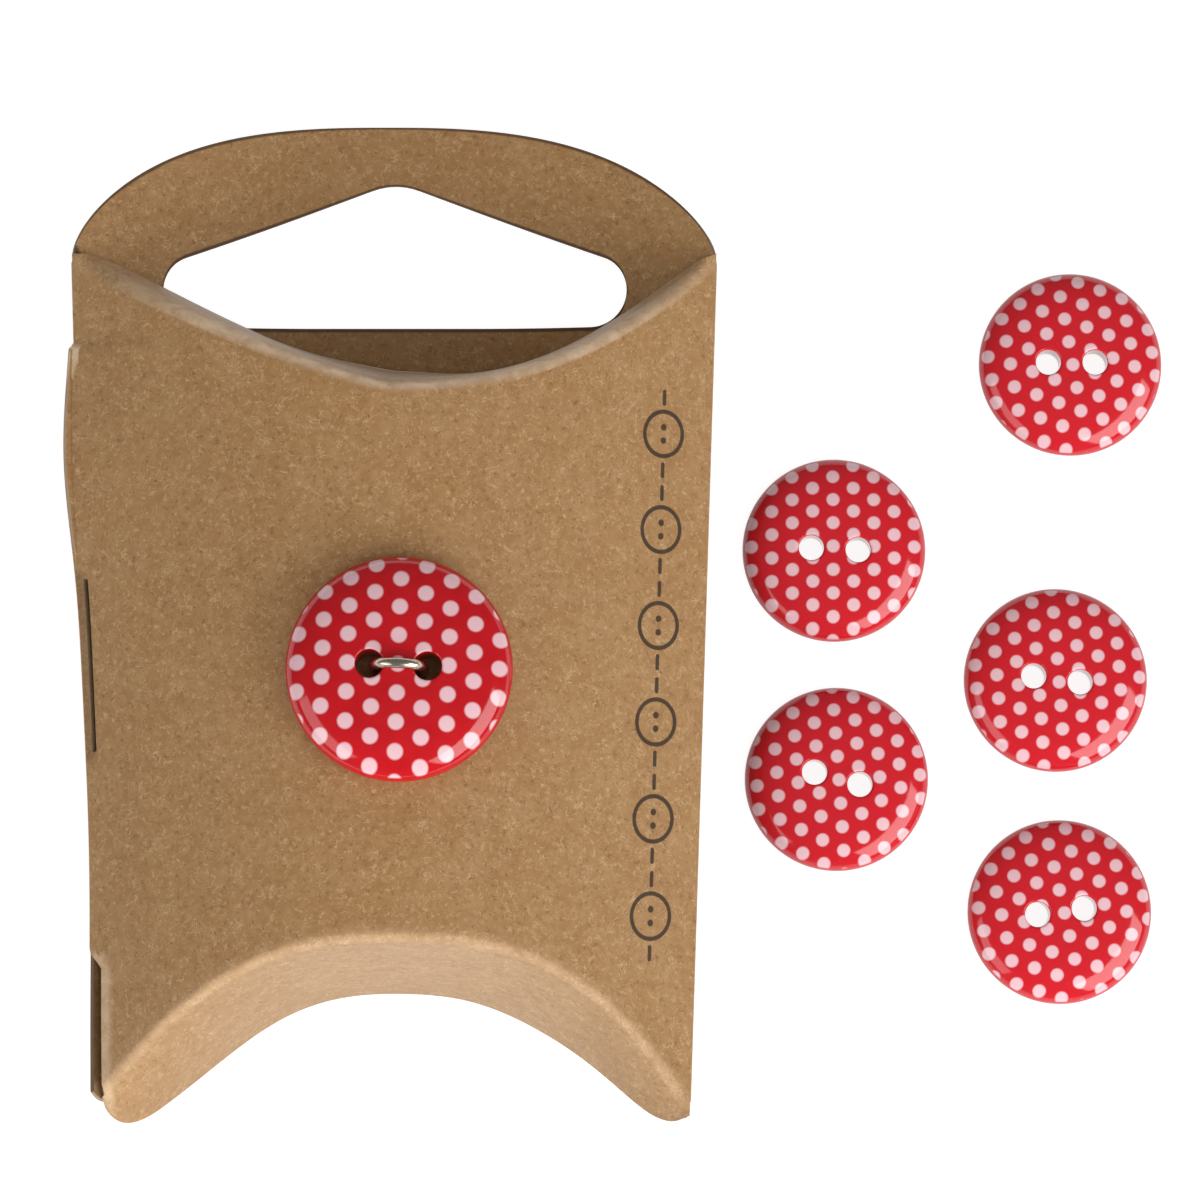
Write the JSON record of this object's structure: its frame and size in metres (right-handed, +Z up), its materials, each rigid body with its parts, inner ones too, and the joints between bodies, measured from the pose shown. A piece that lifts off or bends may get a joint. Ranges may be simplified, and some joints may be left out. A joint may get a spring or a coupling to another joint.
{
  "type": "card of buttons",
  "caption": "Kraft-board pillow carton with a hang header, a red polka-dot two-hole button stapled to its bowed front, and matching loose buttons lying beside it.",
  "frame": {"origin": "on the floor, in the middle of the flat strip that the carton's back rests on", "axes": "+Z up, out of the carton's front; +Y towards the hang header; +X towards the loose buttons"},
  "size_m": [0.101, 0.0923, 0.025],
  "materials": {
    "kraft_board": "uncoated brown kraft with light fibres",
    "red_resin": "glossy red with pale polka dots",
    "staple_wire": "bright drawn wire"
  },
  "bodies": {
    "root": {"carton": "kraft_board", "front_button": "red_resin", "staple": "staple_wire", "loose_button_1": "red_resin", "loose_button_2": "red_resin", "loose_button_3": "red_resin", "loose_button_4": "red_resin", "loose_button_5": "red_resin"}
  },
  "joints": []
}
